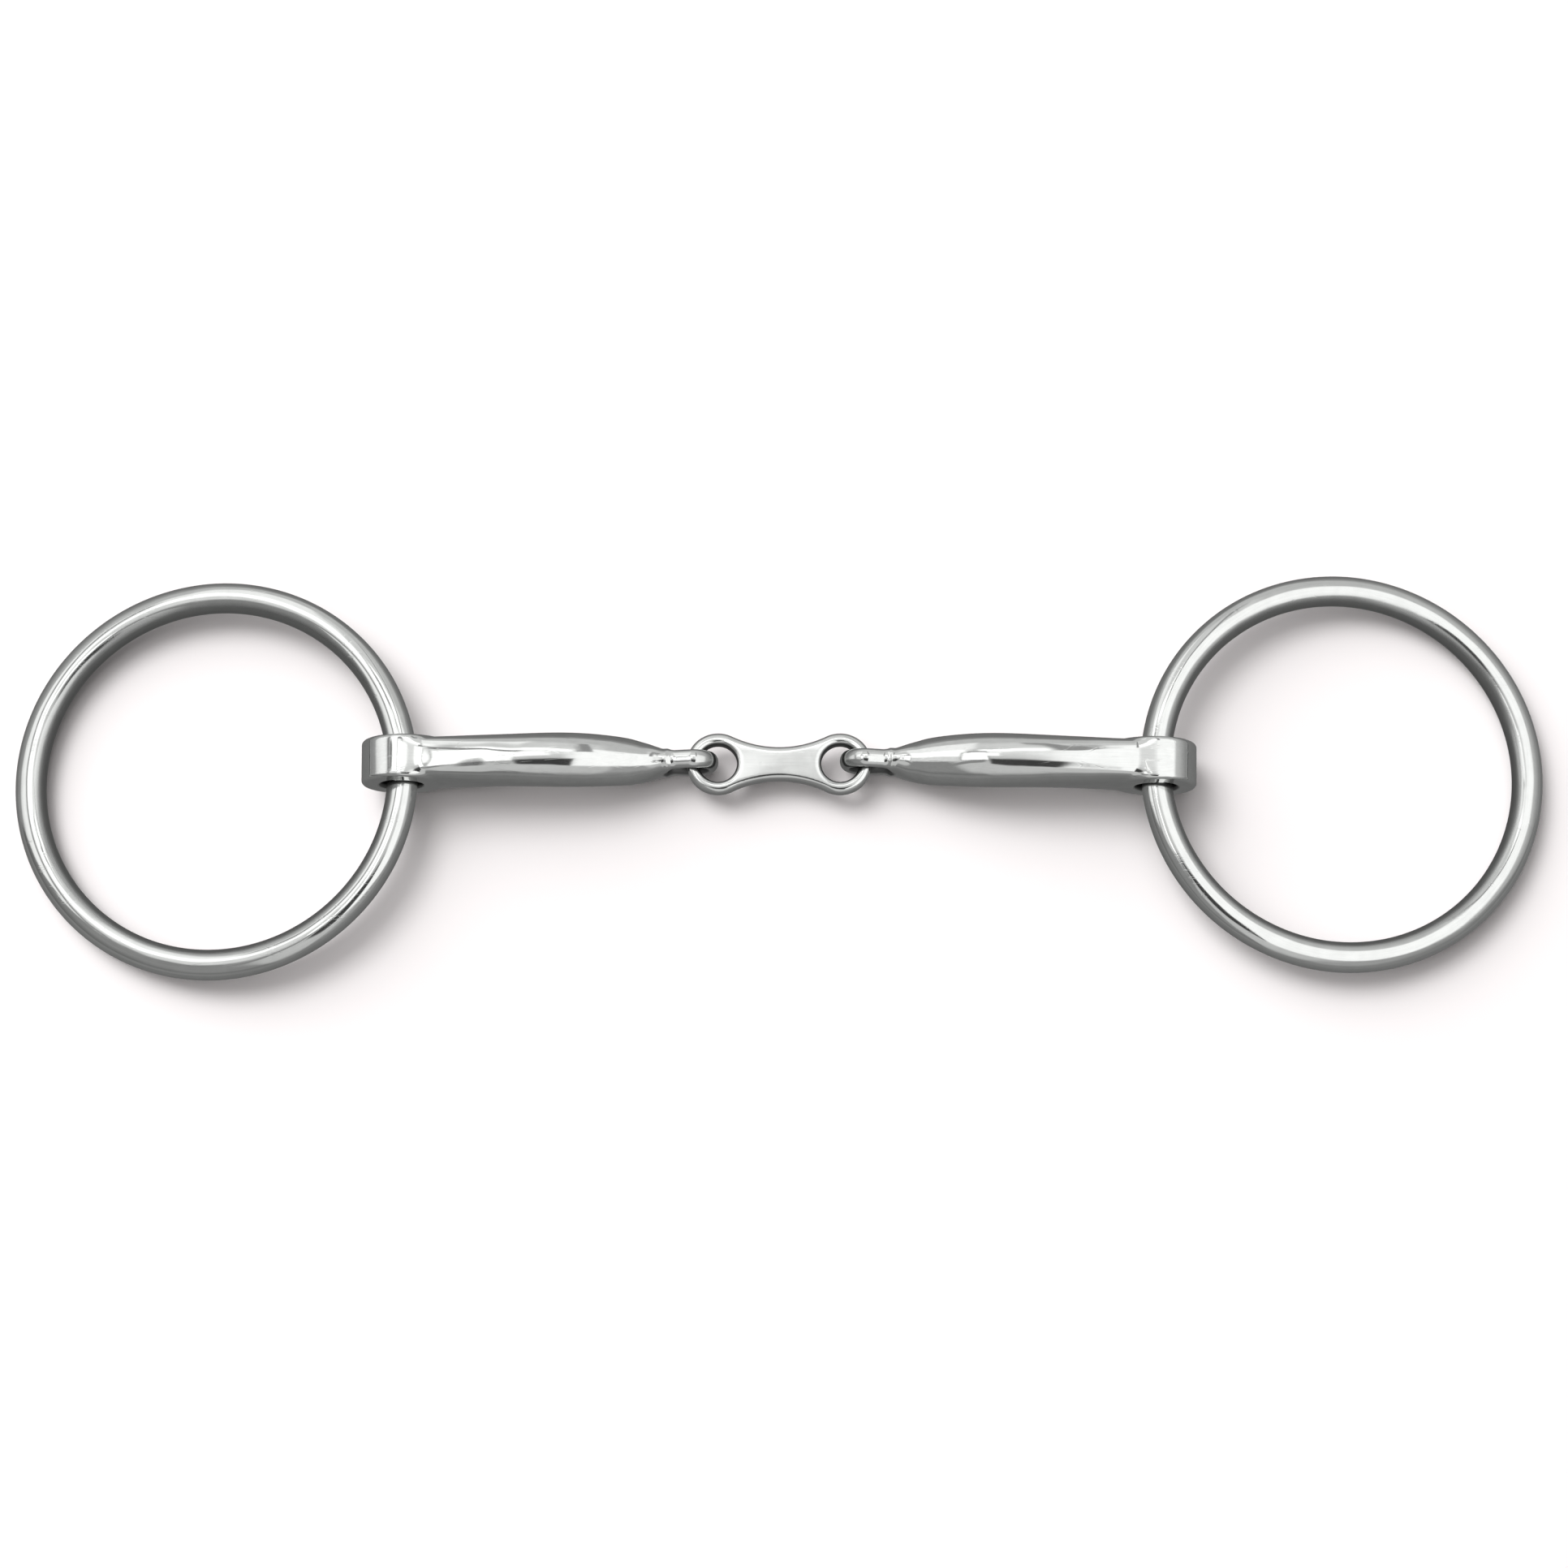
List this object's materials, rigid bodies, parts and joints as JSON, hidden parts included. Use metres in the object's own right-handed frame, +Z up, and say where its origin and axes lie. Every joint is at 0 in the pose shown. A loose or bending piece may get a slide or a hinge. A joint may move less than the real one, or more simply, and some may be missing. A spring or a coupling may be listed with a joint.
{
  "type": "snaffle bit",
  "caption": "Loose-ring, double-jointed snaffle bit in polished steel: cheek rings, tapered mouthpiece arms and a flat link between them.",
  "frame": {"origin": "middle of the footprint on the surface that the bit lies on", "axes": "+X along the mouthpiece from the left ring to the right ring, +Y across it, +Z up out of the surface"},
  "size_m": [0.2656, 0.0718, 0.014],
  "materials": {
    "ring_steel": "polished stainless steel with fine handling scratches",
    "arm_steel": "mirror-polished stainless steel casting, slightly wavy",
    "link_steel": "polished stainless steel with soft rounded edges"
  },
  "bodies": {
    "link": {"french_link": "link_steel"},
    "left_arm": {"left_arm": "arm_steel"},
    "right_arm": {"right_arm": "arm_steel"},
    "left_ring": {"left_ring": "ring_steel"},
    "right_ring": {"right_ring": "ring_steel"}
  },
  "joints": [
    {"name": "left_fold", "type": "hinge", "parent": "link", "child": "left_arm", "pos_m": [-0.01495, 0.0024, 0.0044], "axis": [0, 1, 0], "range_deg": [-45, 45]},
    {"name": "right_fold", "type": "hinge", "parent": "link", "child": "right_arm", "pos_m": [0.01495, 0.0026, 0.0044], "axis": [0, -1, 0], "range_deg": [-45, 45]},
    {"name": "left_ring_swing", "type": "hinge", "parent": "left_arm", "child": "left_ring", "pos_m": [-0.06514, 0.00161, 0.007], "axis": [-0.0157, 0.9999, 0], "range_deg": [-90, 90]},
    {"name": "right_ring_swing", "type": "hinge", "parent": "right_arm", "child": "right_ring", "pos_m": [0.06513, 0.0012, 0.007], "axis": [-0.0279, -0.9996, 0], "range_deg": [-90, 90]}
  ]
}
